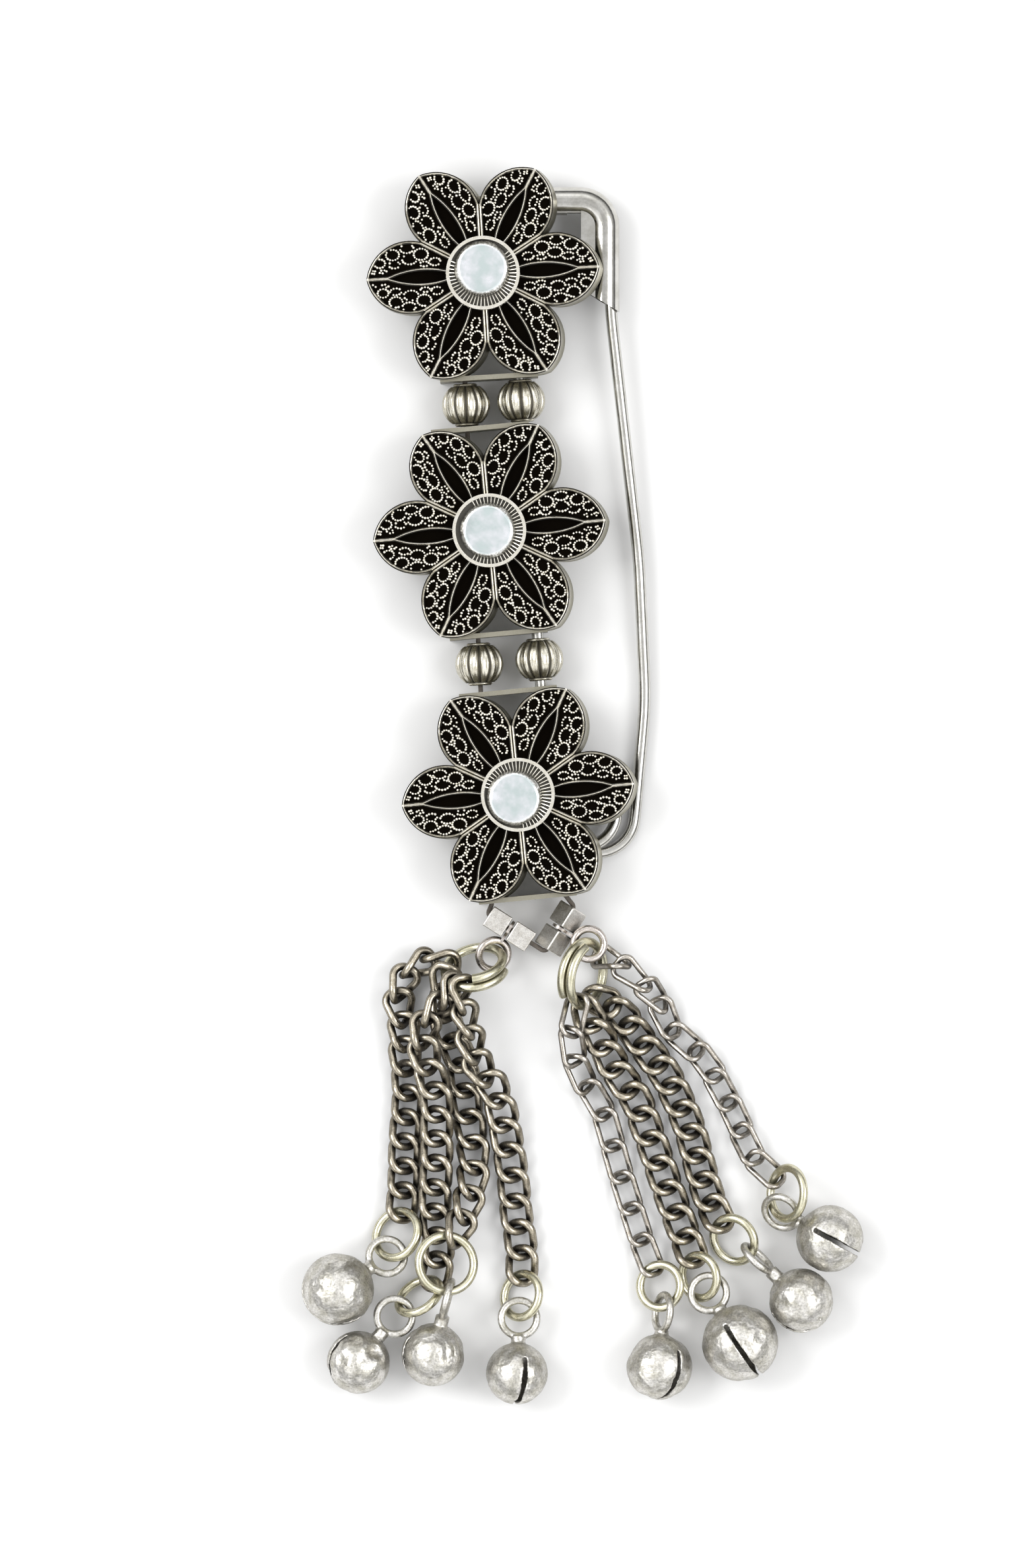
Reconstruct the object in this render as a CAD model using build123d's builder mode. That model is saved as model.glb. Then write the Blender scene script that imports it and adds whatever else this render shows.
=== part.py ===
from build123d import *
import os
from math import cos, pi, radians, sin, tan

os.makedirs("parts", exist_ok=True)

# A saree pin lying on its back: a safety pin that carries a column of three cast flowers,
# with chains and jingle bells below. X is right, Y is up the column, Z is towards the viewer.
# The floor is z = 0. All lengths are in millimetres and angles in degrees.

# Safety pin wire
wire_radius = 0.63
axis_height = 2.7           # height of the rail, the thread and the bead bores
rail_top = (-7.87, 60.5)
rail_foot = (-3.42, -3.1)
coil_radius = 3.5
coil_pitch = 1.36
coil_gap = 0.12             # between the two bodies' turns, end to end
coil_lead = 2.0             # last stretch of the rail, which slopes like the coil
coil_lead_bend = 12.0
point_length = 2.8
point_radius = 0.12

# Route of the opening wire from the coil to the point: x, y, z
arm_route = [
    (5.05, -7.0, 0.66),
    (5.6, -3.0, 0.75),
    (6.7, 9.1, 1.15),
    (6.0, 24.0, 1.7),
    (4.3, 39.0, 2.2),
    (2.97, 50.8, 2.69),
    (2.9, 58.3, 2.7),
]
arm_bends = [3.6, 3.9, 22.0, 40.0, 60.0, 60.0, 40.0]

# Folded cap of the pin
cap_tube_radius = 1.5
cap_wall = 0.25
cap_corner = 2.7
cap_right = 3.92            # outer right side
cap_top = 63.65             # outer top side
cap_foot_right = 50.35      # lower end of the channel at its right side
cap_foot_slope = 31.0       # how steeply the lower edge rises to the left
cap_plate_left = -0.15      # inner edge of the front and back plates
cap_plate_half_gap = 0.8
rail_leg_length = 6.0
rail_seat_clearance = 0.03

# Flowers: name, centre x, centre y, turn, the upper wall's reach as a share of petal_length,
# its left and right ends
flower_table = [
    ("flower_1", -10.56, 54.32, 3.4, 0.66397, -5.2, 0.8),
    ("flower_2", -9.88, 27.09, 5.2, 0.90688, -5.2, 5.2),
    ("flower_3", -6.86, -0.86, 5.5, 0.90688, -5.2, 5.2),
]
petal_count = 6
petal_length = 12.35
petal_half_width = 3.75
petal_underside = 4.35
petal_depth = 2.25
petal_rim = 0.36
petal_wall = 0.75
petal_recess = 0.6
vein_groove = 1.0
vein_ridge = 0.3
hollow_depth = 0.85
bezel_radius = 3.9
bezel_wall = 0.34
bezel_top = 7.7
mirror_seat = 6.6
mirror_radius = 2.94
mirror_thickness = 0.8
mirror_gap = 0.03
# Where each mirror was glued, off the centre of its cup
mirror_shift = {"flower_1": (-0.1, 0.5), "flower_2": (-0.15, 0.0), "flower_3": (-0.38, -0.36)}
tab_width = 10.4
tab_thickness = 0.5
tab_reach = 0.90688         # to a lower wall's outer face, as a share of petal_length
tab_into_roof = 1.1         # how far a tab runs up into the petals
tab_hole_radius = 0.95
thread_hole_radius = 0.6

# Petal outline: shares of petal_length and petal_half_width
petal_base = (0.20, 0.40)
petal_shoulder = (0.50, 0.965)
petal_bulge = (0.82, 0.86)
vein_start = 0.33
vein_end = 0.955
vein_middle = (0.56, 0.21)

# Melon beads: name, x, y, carried by the rail or by the thread
melon_table = [
    ("melon_bead_1", "thread", 40.5),
    ("melon_bead_2", "rail", 40.95),
    ("melon_bead_3", "thread", 13.0),
    ("melon_bead_4", "rail", 13.5),
]
melon_radius = 2.62
melon_length = 3.9
collar_radius = 1.3
collar_length = 0.3
rib_count = 12
rib_groove = 0.3
melon_bore = 0.74
melon_waist = 0.62          # radius of the barrel's ends as a share of melon_radius

# Cube beads: name, centre x, centre y, roll about the bore
cube_edge = 2.35
cube_round = 0.14
cube_bore = 0.5
cube_table = [
    ("cube_bead_1", -9.0, -14.3, 0.0),
    ("cube_bead_2", -6.52, -15.9, 0.0),
    ("cube_bead_3", -3.1, -16.3, 45.0),
    ("cube_bead_4", -1.55, -13.85, 45.0),
]

# Thread: its radius and its route through the left column and the cube beads: x, y
thread_radius = 0.25
thread_line_top = (-12.58, 44.8)
thread_line_foot = (-9.63, -12.5)
thread_return = (-3.0, -10.05)
knot_radius = 1.15
thread_bend = 0.55
thread_tail = 1.3           # how far the thread runs straight past the middle of a cube

# Eye rings hang from thin washers between the cube beads: name, the two beads, the
# ring's centre, its normal
eye_table = [
    ("eye_ring_left", 0, 1, (-9.45, -17.85, 2.5), (0.32, -0.24, 0.95)),
    ("eye_ring_right", 3, 2, (0.67, -16.7, 3.2), (0.15, 0.0, 1.0)),
]
eye_radius = 1.62
eye_wire = 0.4
washer_radius = 0.95
washer_bore = 0.42
washer_thickness = 0.3
tongue_width = 0.9

# Jump rings with overlapped ends: name, centre, direction of the long side, tilt,
# radius, angle where the wire starts, angle that it turns through
jump_wire = 0.5
jump_pitch = 1.12
jump_table = {
    "jump_ring_left": ((-11.63, -18.53, 3.97), (0.974, 0.225), 55.7, 3.15, 262.0, 438.0),
    "jump_ring_right": ((0.87, -19.98, 3.74), (-0.18, -0.98), 55.8, 3.4, 215.0, 465.0),
}

# Links: wire radius, half width, half length, rise of the twist, corner radius
curb = (0.41, 1.36, 1.88, 1.15, 1.1)
fine = (0.30, 1.10, 2.20, 0.95, 0.85)
link_clearance = 0.12

# Chains: name, link, how many, jump ring, angle on it, roll of the first link,
# links over which that roll dies out, roll of the last link
end_settle = 6              # links over which the last link's roll builds up
chain_table = [
    ("chain_l1", curb, 12, "jump_ring_left", 149.4, 62.9, 6, 0.0),
    ("chain_l2", curb, 13, "jump_ring_left", 212.1, 66.7, 4, 0.0),
    ("chain_l3", curb, 11, "jump_ring_left", 178.6, 11.5, 3, 34.0),
    ("chain_l4", curb, 12, "jump_ring_left", 239.3, 63.1, 5, 0.0),
    ("chain_r1", fine, 9, "jump_ring_right", -12.5, -1.3, 3, 0.0),
    ("chain_r2", curb, 11, "jump_ring_right", 11.4, -14.8, 4, 0.0),
    ("chain_r3", curb, 11, "jump_ring_right", 41.7, -9.3, 4, 0.0),
    ("chain_r4", fine, 10, "jump_ring_right", 124.2, 38.1, 4, 0.0),
]

# Routes of the chains after the jump ring, chosen by eye on the photograph and then nudged
# until the links cleared each other: x, y, z
chain_routes = {
    "chain_l1": [
        (-15.60, -18.47, 1.79),
        (-18.23, -19.62, 1.94),
        (-19.47, -22.99, 1.69),
        (-19.08, -24.73, 1.47),
        (-18.87, -28.00, 1.28),
        (-18.51, -31.76, 1.08),
        (-18.83, -37.22, 1.08),
        (-18.96, -41.72, 1.11),
        (-19.20, -45.10, 1.34),
    ],
    "chain_l2": [
        (-15.59, -23.76, 4.43),
        (-16.51, -25.03, 4.12),
        (-16.63, -28.78, 3.80),
        (-15.56, -32.54, 3.22),
        (-15.46, -35.81, 2.90),
        (-15.48, -39.88, 2.63),
        (-15.64, -43.34, 2.58),
        (-15.54, -46.12, 2.24),
        (-15.32, -49.07, 1.89),
        (-15.80, -52.40, 1.83),
    ],
    "chain_l3": [
        (-14.48, -21.70, 2.17),
        (-14.49, -24.13, 1.36),
        (-14.07, -26.53, 1.13),
        (-13.09, -28.61, 1.00),
        (-12.45, -32.88, 1.03),
        (-11.89, -36.38, 1.09),
        (-11.61, -40.77, 1.98),
        (-12.05, -43.63, 2.89),
        (-13.48, -47.78, 3.76),
    ],
    "chain_l4": [
        (-12.57, -23.68, 5.11),
        (-12.35, -24.36, 5.04),
        (-11.24, -29.03, 4.10),
        (-9.33, -32.11, 2.90),
        (-8.39, -35.38, 2.01),
        (-7.81, -38.67, 1.21),
        (-7.30, -42.40, 1.05),
        (-7.00, -45.50, 1.05),
        (-6.50, -48.90, 1.05),
        (-6.50, -51.80, 1.30),
    ],
    "chain_r1": [
        (-1.14, -26.49, 4.36),
        (-0.85, -28.35, 3.36),
        (0.14, -31.16, 1.76),
        (2.05, -34.22, 1.04),
        (2.78, -36.38, 1.02),
        (4.20, -41.50, 1.02),
        (5.29, -45.00, 1.04),
        (6.31, -48.20, 1.07),
        (7.40, -51.00, 1.35),
    ],
    "chain_r2": [
        (1.00, -25.16, 3.02),
        (2.27, -27.43, 2.33),
        (3.66, -30.26, 1.40),
        (5.65, -33.14, 1.05),
        (6.61, -35.61, 1.07),
        (7.50, -38.10, 1.05),
        (9.20, -43.10, 1.05),
        (10.09, -45.52, 1.04),
        (11.70, -49.90, 1.58),
    ],
    "chain_r3": [
        (3.23, -23.40, 1.58),
        (5.25, -25.67, 1.29),
        (7.46, -28.71, 1.10),
        (8.90, -30.70, 1.05),
        (10.00, -32.90, 1.05),
        (11.00, -35.20, 1.05),
        (12.40, -40.00, 1.05),
        (13.60, -44.00, 1.05),
        (14.60, -46.20, 1.66),
    ],
    "chain_r4": [
        (4.97, -19.72, 3.05),
        (7.01, -21.58, 2.72),
        (8.43, -23.11, 1.16),
        (9.04, -25.04, 1.15),
        (10.90, -27.10, 1.02),
        (13.06, -29.17, 1.10),
        (14.79, -32.21, 1.09),
        (16.30, -35.04, 0.89),
        (17.41, -37.77, 1.24),
        (20.50, -41.40, 1.64),
    ],
}

# Drop rings and bells
drop_wire = 0.45
loop_radius = 1.9
loop_wire = 0.4
bell_wall = 0.35
bell_slit = 0.4
slit_share = 0.45           # how far the slit runs past the middle, as a share of the radius
lump_radius = 0.75          # solder between a bell and its loop
seam_turn = 50.0            # keeps a ball's seam off its slit and its solder

# Drop rings: name, chain, ring radius, heading from the chain's end, rise, tilt
drop_table = [
    ("drop_ring_1", "chain_l1", 2.6, -101.9, 14.9, 34.6),
    ("drop_ring_2", "chain_l2", 2.45, -132.4, 20.9, 53.9),
    ("drop_ring_3", "chain_l3", 3.0, -109.3, 13.2, -10.2),
    ("drop_ring_4", "chain_l4", 2.35, -89.1, 15.3, 37.6),
    ("drop_ring_5", "chain_r1", 2.3, -67.3, 14.3, 19.0),
    ("drop_ring_6", "chain_r2", 2.3, -71.1, 8.3, 37.8),
    ("drop_ring_7", "chain_r3", 2.45, -52.2, 4.8, 33.2),
    ("drop_ring_8", "chain_r4", 2.7, -55.1, 37.9, 37.0),
]

# Bells: name, x, y, radius, neck, heading of its loop, rise, tilt of the loop, tilt of the slit
bell_table = [
    ("bell_1", -25.95, -53.31, 3.85, 0.6, 33.6, -12.7, -11.1, 6.0),
    ("bell_2", -23.78, -61.08, 3.36, 0.95, 51.6, -3.5, 4.9, -24.0),
    ("bell_3", -15.85, -60.26, 3.36, 1.0, 75.9, 9.7, -93.0, -18.0),
    ("bell_4", -6.96, -62.26, 3.29, 0.7, 87.7, -9.1, 0.7, 74.0),
    ("bell_5", 8.16, -61.55, 3.5, 0.4, 86.3, -9.3, -66.7, 53.0),
    ("bell_6", 16.7, -58.98, 4.06, 0.4, 122.2, -14.2, 0.9, 95.0),
    ("bell_7", 23.2, -54.51, 3.43, 1.1, 136.2, -5.2, 77.0, -12.0),
    ("bell_8", 26.23, -47.94, 3.57, 0.4, 151.7, -8.6, -36.1, 88.0),
]


def finish(part, name):
    """Label a finished piece and write its file."""
    part.label = name
    export_step(part, os.path.join("parts", name + ".step"))


def frame(origin, along, roll=0.0):
    """Plane whose Y runs along a direction and whose Z is up, rolled about that Y."""
    y_dir = Vector(*along).normalized()
    side = y_dir.cross(Vector(0, 0, 1)).normalized()
    up = side.cross(y_dir)
    turn = radians(roll)
    return Plane(
        origin=origin,
        x_dir=side * cos(turn) + up * sin(turn),
        z_dir=up * cos(turn) - side * sin(turn),
    )


def bore_plane(origin, along, roll):
    """Plane whose Z runs along a level bore and whose X is up, rolled about that Z."""
    side = along.cross(Vector(0, 0, 1))
    turn = radians(roll)
    return Plane(origin, x_dir=Vector(0, 0, 1) * cos(turn) + side * sin(turn), z_dir=along)


def on_line(start, end, y):
    """X of a straight line in plan where it crosses a height y."""
    share = (y - start[1]) / (end[1] - start[1])
    return start[0] + share * (end[0] - start[0])


def meet(p, p_dir, q, q_dir):
    """Where two lines in plan cross."""
    gap = q - p
    share = (gap.X * q_dir.Y - gap.Y * q_dir.X) / (p_dir.X * q_dir.Y - p_dir.Y * q_dir.X)
    return plan(p + p_dir * share)


def toward(start, end):
    """Unit direction in plan from one point to another."""
    return Vector(end[0] - start[0], end[1] - start[1], 0).normalized()


def plan(point):
    """The x and y of a point."""
    return (point.X, point.Y)


def at_axis(point):
    """A point of the plan at the height of the rail and the bores."""
    return Vector(point[0], point[1], axis_height)


# Safety pin: the rail runs down the column into one full turn of the coil
rail_dir = toward(rail_top, rail_foot)
rail_side = Vector(-rail_dir.Y, rail_dir.X, 0)
coil_centre = at_axis(rail_foot) + rail_side * coil_radius
coil_slope = coil_pitch / (2 * pi * coil_radius)
lead_drop = Vector(0, 0, coil_slope * coil_lead)
coil_start = at_axis(rail_foot) - lead_drop
with BuildPart() as pin_frame:
    with BuildLine() as rail:
        FilletPolyline(
            at_axis(rail_top),
            at_axis(rail_foot) - rail_dir * coil_lead,
            coil_start,
            radius=coil_lead_bend,
        )
    rail_path = rail.wire()
    with BuildSketch(Plane(origin=rail_path @ 0, z_dir=rail_path % 0)):
        Circle(wire_radius)
    sweep(path=rail_path)
    with BuildLine() as turn:
        Helix(coil_pitch, coil_pitch, coil_radius, lefthand=True)
    coil_plane = Plane(coil_centre - lead_drop, x_dir=-rail_side, z_dir=(0, 0, -1))
    turn_path = turn.wire().moved(Location(coil_plane))
    with BuildSketch(Plane(origin=turn_path @ 0, z_dir=turn_path % 0)):
        Circle(wire_radius)
    sweep(path=turn_path)
finish(pin_frame.part, "pin_frame")

# The opening wire carries the coil on, rises on the right and ends in a point
arm_start = coil_start - Vector(0, 0, coil_pitch) + rail_dir * coil_gap
with BuildPart() as pin_arm:
    with BuildLine() as arm:
        FilletPolyline(
            arm_start,
            Vector(arm_start.X, arm_route[0][1], arm_start.Z),
            *arm_route,
            radius=arm_bends,
        )
    arm_path = arm.wire()
    with BuildSketch(Plane(origin=arm_path @ 0, z_dir=arm_path % 0)):
        Circle(wire_radius)
    sweep(path=arm_path)
    tip_plane = Plane(origin=arm_path @ 1, z_dir=arm_path % 1)
    with BuildSketch(tip_plane):
        Circle(wire_radius)
    with BuildSketch(tip_plane.offset(point_length)):
        Circle(point_radius)
    loft()
finish(pin_arm.part, "pin_arm")

# Folded sheet cap: a hollow tube over the top and down the right side, open on its
# left for the point, and a solid leg that is crimped on the rail
cap_axis_x = cap_right - cap_tube_radius
cap_axis_y = cap_top - cap_tube_radius
leg_x = on_line(rail_top, rail_foot, cap_axis_y)
leg_foot = at_axis(rail_top) + rail_dir * rail_leg_length
cap_low = cap_foot_right - cap_corner
plate_width = cap_axis_x - cap_plate_left
with BuildPart() as pin_head:
    with BuildLine() as cap_line:
        FilletPolyline(
            leg_foot,
            (leg_x, cap_axis_y, axis_height),
            (cap_axis_x, cap_axis_y, axis_height),
            (cap_axis_x, cap_low, axis_height),
            radius=cap_corner,
        )
    cap_path = cap_line.wire()
    with BuildSketch(Plane(origin=cap_path @ 0, z_dir=cap_path % 0)):
        Circle(cap_tube_radius)
    sweep(path=cap_path)
    with BuildSketch(Plane.XY.offset(axis_height)):
        with Locations(((cap_axis_x + cap_plate_left) / 2, (cap_low + cap_axis_y) / 2)):
            Rectangle(plate_width, cap_axis_y - cap_low)
    extrude(amount=cap_plate_half_gap + cap_wall, both=True)
    with BuildLine() as hollow_line:
        FilletPolyline(
            (cap_plate_left - cap_corner, cap_axis_y, axis_height),
            (cap_axis_x, cap_axis_y, axis_height),
            (cap_axis_x, cap_low, axis_height),
            radius=cap_corner,
        )
    hollow_path = hollow_line.wire()
    with BuildSketch(Plane(origin=hollow_path @ 0, z_dir=hollow_path % 0)):
        Circle(cap_tube_radius - cap_wall)
    sweep(path=hollow_path, mode=Mode.SUBTRACT)
    slot_left = cap_plate_left - cap_tube_radius
    slot_top = cap_axis_y
    with BuildSketch(Plane.XY.offset(axis_height)):
        with Locations(((cap_axis_x + slot_left) / 2, (cap_low + slot_top) / 2)):
            Rectangle(cap_axis_x - slot_left, slot_top - cap_low)
    extrude(amount=cap_plate_half_gap, both=True, mode=Mode.SUBTRACT)
    foot_rise = cap_corner * 2 * tan(radians(cap_foot_slope))
    with BuildSketch(Plane.XY):
        with BuildLine():
            Polyline(
                (cap_right, cap_foot_right),
                (cap_right - cap_corner * 2, cap_foot_right + foot_rise),
                (cap_right - cap_corner * 2, cap_low - cap_corner),
                (cap_right + cap_corner, cap_low - cap_corner),
                (cap_right + cap_corner, cap_foot_right),
                close=True,
            )
        make_face()
    extrude(amount=axis_height * 2, mode=Mode.SUBTRACT)
    with BuildSketch(Plane(origin=leg_foot, z_dir=-rail_dir)):
        Circle(wire_radius + rail_seat_clearance)
    extrude(amount=rail_leg_length + rail_seat_clearance, mode=Mode.SUBTRACT)
finish(pin_head.part, "pin_head")


# Flowers: six cast petals around a cup with a mirror, on two drilled walls
rail_span = (rail_top, rail_foot)
thread_span = (thread_line_top, thread_line_foot)
cube_centres = [Vector(x, y, axis_height) for name, x, y, roll in cube_table]
left_dir = (cube_centres[1] - cube_centres[0]).normalized()
right_dir = (cube_centres[3] - cube_centres[2]).normalized()
thread_left = plan(cube_centres[0] - left_dir * thread_tail)
thread_right = plan(cube_centres[3] + right_dir * thread_tail)
hole_table = {
    "flower_1": [(thread_span, tab_hole_radius), (rail_span, tab_hole_radius)],
    "flower_2": [(thread_span, tab_hole_radius), (rail_span, tab_hole_radius)],
    "flower_3": [
        (thread_span, tab_hole_radius),
        (rail_span, tab_hole_radius),
        ((thread_right, thread_return), thread_hole_radius),
    ],
}
with BuildSketch() as leaf:
    with BuildLine():
        base = (petal_base[0] * petal_length, petal_base[1] * petal_half_width)
        shoulder = (petal_shoulder[0] * petal_length, petal_shoulder[1] * petal_half_width)
        bulge = (petal_bulge[0] * petal_length, petal_bulge[1] * petal_half_width)
        Line((base[0], 0), base)
        Line(base, shoulder)
        ThreePointArc(shoulder, bulge, (petal_length, 0))
        mirror(about=Plane.XZ)
    make_face()
with BuildSketch() as vein:
    with BuildLine():
        vein_side = (vein_middle[0] * petal_length, vein_middle[1] * petal_half_width)
        ThreePointArc((vein_start * petal_length, 0), vein_side, (vein_end * petal_length, 0))
        mirror(about=Plane.XZ)
    make_face()


def make_flower(name, x, y, turn, wall_reach, wall_left, wall_right):
    """A cast flower with its cup, veins and drilled walls."""
    spin = (cos(radians(turn)), sin(radians(turn)), 0)
    plane = Plane((x, y, 0), x_dir=spin, z_dir=(0, 0, 1))
    petal_top = petal_underside + petal_depth
    with BuildPart() as flower:
        with BuildSketch(plane.offset(petal_underside)):
            with PolarLocations(0, petal_count):
                add(leaf.sketch)
        extrude(amount=petal_depth)
        with BuildSketch(plane.offset(petal_top)):
            with PolarLocations(0, petal_count):
                add(offset(leaf.sketch, -petal_rim, mode=Mode.PRIVATE))
                add(offset(vein.sketch, vein_ridge, mode=Mode.PRIVATE), mode=Mode.SUBTRACT)
        extrude(amount=-petal_recess, mode=Mode.SUBTRACT)
        with BuildSketch(plane.offset(petal_top)):
            with PolarLocations(0, petal_count):
                add(vein.sketch)
        extrude(amount=-vein_groove, mode=Mode.SUBTRACT)
        with BuildSketch(plane.offset(petal_underside)):
            with PolarLocations(0, petal_count):
                add(offset(leaf.sketch, -petal_wall, mode=Mode.PRIVATE))
        extrude(amount=hollow_depth, mode=Mode.SUBTRACT)
        with BuildSketch(plane.offset(petal_underside)):
            Circle(bezel_radius)
        extrude(amount=bezel_top - petal_underside)
        with BuildSketch(plane.offset(mirror_seat)):
            Circle(bezel_radius - bezel_wall)
        extrude(amount=bezel_top - mirror_seat, mode=Mode.SUBTRACT)
        with BuildSketch(plane):
            with Locations((0, tab_thickness / 2 - tab_reach * petal_length)):
                Rectangle(tab_width, tab_thickness)
            upper = wall_reach * petal_length - tab_thickness / 2
            with Locations(((wall_left + wall_right) / 2, upper)):
                Rectangle(wall_right - wall_left, tab_thickness)
        extrude(amount=petal_underside + tab_into_roof)
        for (start, end), radius in hole_table[name]:
            with BuildSketch(Plane(at_axis(start), z_dir=toward(start, end))):
                Circle(radius)
            extrude(amount=(at_axis(end) - at_axis(start)).length, mode=Mode.SUBTRACT)
    finish(flower.part, name)
    shift = mirror_shift[name]
    glass = plane.offset(mirror_seat + mirror_gap)
    with BuildPart() as mirror_disc:
        with BuildSketch(glass):
            with Locations(shift):
                Circle(mirror_radius)
        extrude(amount=mirror_thickness)
    finish(mirror_disc.part, name.replace("flower", "mirror"))


for flower_row in flower_table:
    make_flower(*flower_row)

# Melon beads: a barrel with ribs along its bore and a collar at each end
with BuildPart() as rib_gap:
    with BuildLine(Plane.XZ) as gap_line:
        gap_end = melon_radius * melon_waist
        ThreePointArc(
            (gap_end, -melon_length / 2), (melon_radius, 0), (gap_end, melon_length / 2)
        )
    gap_path = gap_line.wire()
    with BuildSketch(Plane(origin=gap_path @ 0, z_dir=gap_path % 0)):
        Circle(rib_groove)
    sweep(path=gap_path)
with BuildPart() as melon:
    with BuildSketch(Plane.XZ):
        with BuildLine():
            half = melon_length / 2
            end = half + collar_length
            Polyline(
                (collar_radius, half),
                (collar_radius, end),
                (melon_bore, end),
                (melon_bore, -end),
                (collar_radius, -end),
                (collar_radius, -half),
                (melon_radius * melon_waist, -half),
            )
            ThreePointArc(
                (melon_radius * melon_waist, -half),
                (melon_radius, 0),
                (melon_radius * melon_waist, half),
            )
            Line((melon_radius * melon_waist, half), (collar_radius, half))
        make_face()
    revolve(axis=Axis.Z)
    with PolarLocations(0, rib_count):
        add(rib_gap.part, mode=Mode.SUBTRACT)

for name, carrier, y in melon_table:
    start, end = rail_span if carrier == "rail" else thread_span
    centre = (on_line(start, end, y), y, axis_height)
    with BuildPart() as melon_bead:
        with Locations(Plane(centre, z_dir=toward(start, end))):
            add(melon.part)
    finish(melon_bead.part, name)

# Cube beads, drilled through two faces
with BuildPart() as cube:
    Box(cube_edge, cube_edge, cube_edge)
    fillet(cube.edges(), cube_round)
    Hole(cube_bore)

bore_dirs = [left_dir, left_dir, right_dir, right_dir]
for (name, x, y, roll), centre, bore in zip(cube_table, cube_centres, bore_dirs):
    with BuildPart() as cube_bead:
        with Locations(bore_plane(centre, bore, roll)):
            add(cube.part)
    finish(cube_bead.part, name)

# Thread: knotted inside the top flower, through the left beads and the cubes, and
# knotted again inside the bottom flower
thread_low = meet(cube_centres[0], left_dir, cube_centres[3], right_dir)
with BuildPart() as string:
    with BuildLine() as thread:
        FilletPolyline(
            at_axis(thread_line_top),
            at_axis(thread_line_foot),
            at_axis(thread_left),
            at_axis(thread_low),
            at_axis(thread_right),
            at_axis(thread_return),
            radius=thread_bend,
        )
    thread_path = thread.wire()
    with BuildSketch(Plane(origin=thread_path @ 0, z_dir=thread_path % 0)):
        Circle(thread_radius)
    sweep(path=thread_path)
    with Locations(thread_path @ 0, thread_path @ 1):
        Sphere(knot_radius)
finish(string.part, "string")

# Eye rings: a closed ring on a flat tongue, whose washer sits between two cubes
for name, first, second, centre, normal in eye_table:
    seat = (cube_centres[first] + cube_centres[second]) / 2
    bore = (cube_centres[second] - cube_centres[first]).normalized()
    reach = Vector(*centre) - seat
    reach = reach - bore * reach.dot(bore)
    with BuildPart() as eye:
        with BuildSketch(Plane(seat, x_dir=reach, z_dir=bore)):
            Circle(washer_radius)
            with Locations(((reach.length - eye_radius) / 2, 0)):
                Rectangle(reach.length - eye_radius, tongue_width)
            Circle(washer_bore, mode=Mode.SUBTRACT)
        extrude(amount=washer_thickness / 2, both=True)
        with Locations(Plane(centre, z_dir=normal)):
            Torus(eye_radius, eye_wire)
    finish(eye.part, name)


# Jump rings and links
def ring_axes(side, tilt):
    """Across, down and axle directions of a jump ring from its long side and tilt."""
    across = Vector(side[0], side[1], 0).normalized()
    level = Vector(-across.Y, across.X, 0)
    down = level * cos(radians(tilt)) - Vector(0, 0, sin(radians(tilt)))
    return across, down, across.cross(down)


def ring_point(name, angle):
    """Middle of a jump ring's wire at an angle round it."""
    centre, side, tilt, radius, start, swept = jump_table[name]
    across, down, axle = ring_axes(side, tilt)
    wound = (angle - start) % 360 / 360
    arm = across * cos(radians(angle)) + down * sin(radians(angle))
    return Vector(*centre) + arm * radius - axle * jump_pitch * wound


def make_jump_ring(name):
    """A round wire ring whose ends pass each other."""
    centre, side, tilt, radius, start, swept = jump_table[name]
    across, down, axle = ring_axes(side, tilt)
    first = across * cos(radians(start)) + down * sin(radians(start))
    with BuildPart() as jump_ring:
        with BuildLine() as round_wire:
            Helix(jump_pitch, jump_pitch * swept / 360, radius, lefthand=True)
        place = Location(Plane(centre, x_dir=first, z_dir=-axle))
        wire_path = round_wire.wire().moved(place)
        with BuildSketch(Plane(origin=wire_path @ 0, z_dir=wire_path % 0)):
            Circle(jump_wire)
        sweep(path=wire_path)
    finish(jump_ring.part, name)


def make_link(sizes):
    """A twisted link: half of its loop, and the same half turned round."""
    wire, half_width, half_length, rise, corner = sizes
    with BuildPart() as half:
        with BuildLine() as bend:
            FilletPolyline(
                (0, half_length, 0),
                (-half_width, half_length, -rise),
                (-half_width, -half_length, rise),
                (0, -half_length, 0),
                radius=corner,
            )
        bend_path = bend.wire()
        with BuildSketch(Plane(origin=bend_path @ 0, z_dir=bend_path % 0)):
            Circle(wire)
        sweep(path=bend_path)
    with BuildPart() as link:
        with PolarLocations(0, 2):
            add(half.part)
    return link.part


link_forms = {sizes: make_link(sizes) for sizes in (curb, fine)}


def make_chain(name, sizes, count, ring_name, angle, first_roll, settle, last_roll):
    """Links set along a route from a jump ring to a drop ring."""
    wire, half_width, half_length, rise, corner = sizes
    with BuildLine() as line:
        Spline(ring_point(ring_name, angle), *chain_routes[name])
    route = line.wire()
    before = half_length - wire - jump_wire - link_clearance
    after = half_length - wire - drop_wire - link_clearance
    pitch = (route.length - before - after) / (count - 1)
    planes = []
    for k in range(count):
        middle = before + k * pitch
        ahead = min(route.length, middle + pitch / 2) / route.length
        behind = max(0, middle - pitch / 2) / route.length
        roll = first_roll * max(0, 1 - k / settle)
        roll = roll + last_roll * max(0, 1 - (count - 1 - k) / end_settle)
        planes.append(frame(route @ (middle / route.length), route @ ahead - route @ behind, roll))
    with BuildPart() as chain:
        with Locations(*planes):
            add(link_forms[sizes])
    finish(chain.part, name)


for ring_name in jump_table:
    make_jump_ring(ring_name)
for chain_row in chain_table:
    make_chain(*chain_row)


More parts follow.
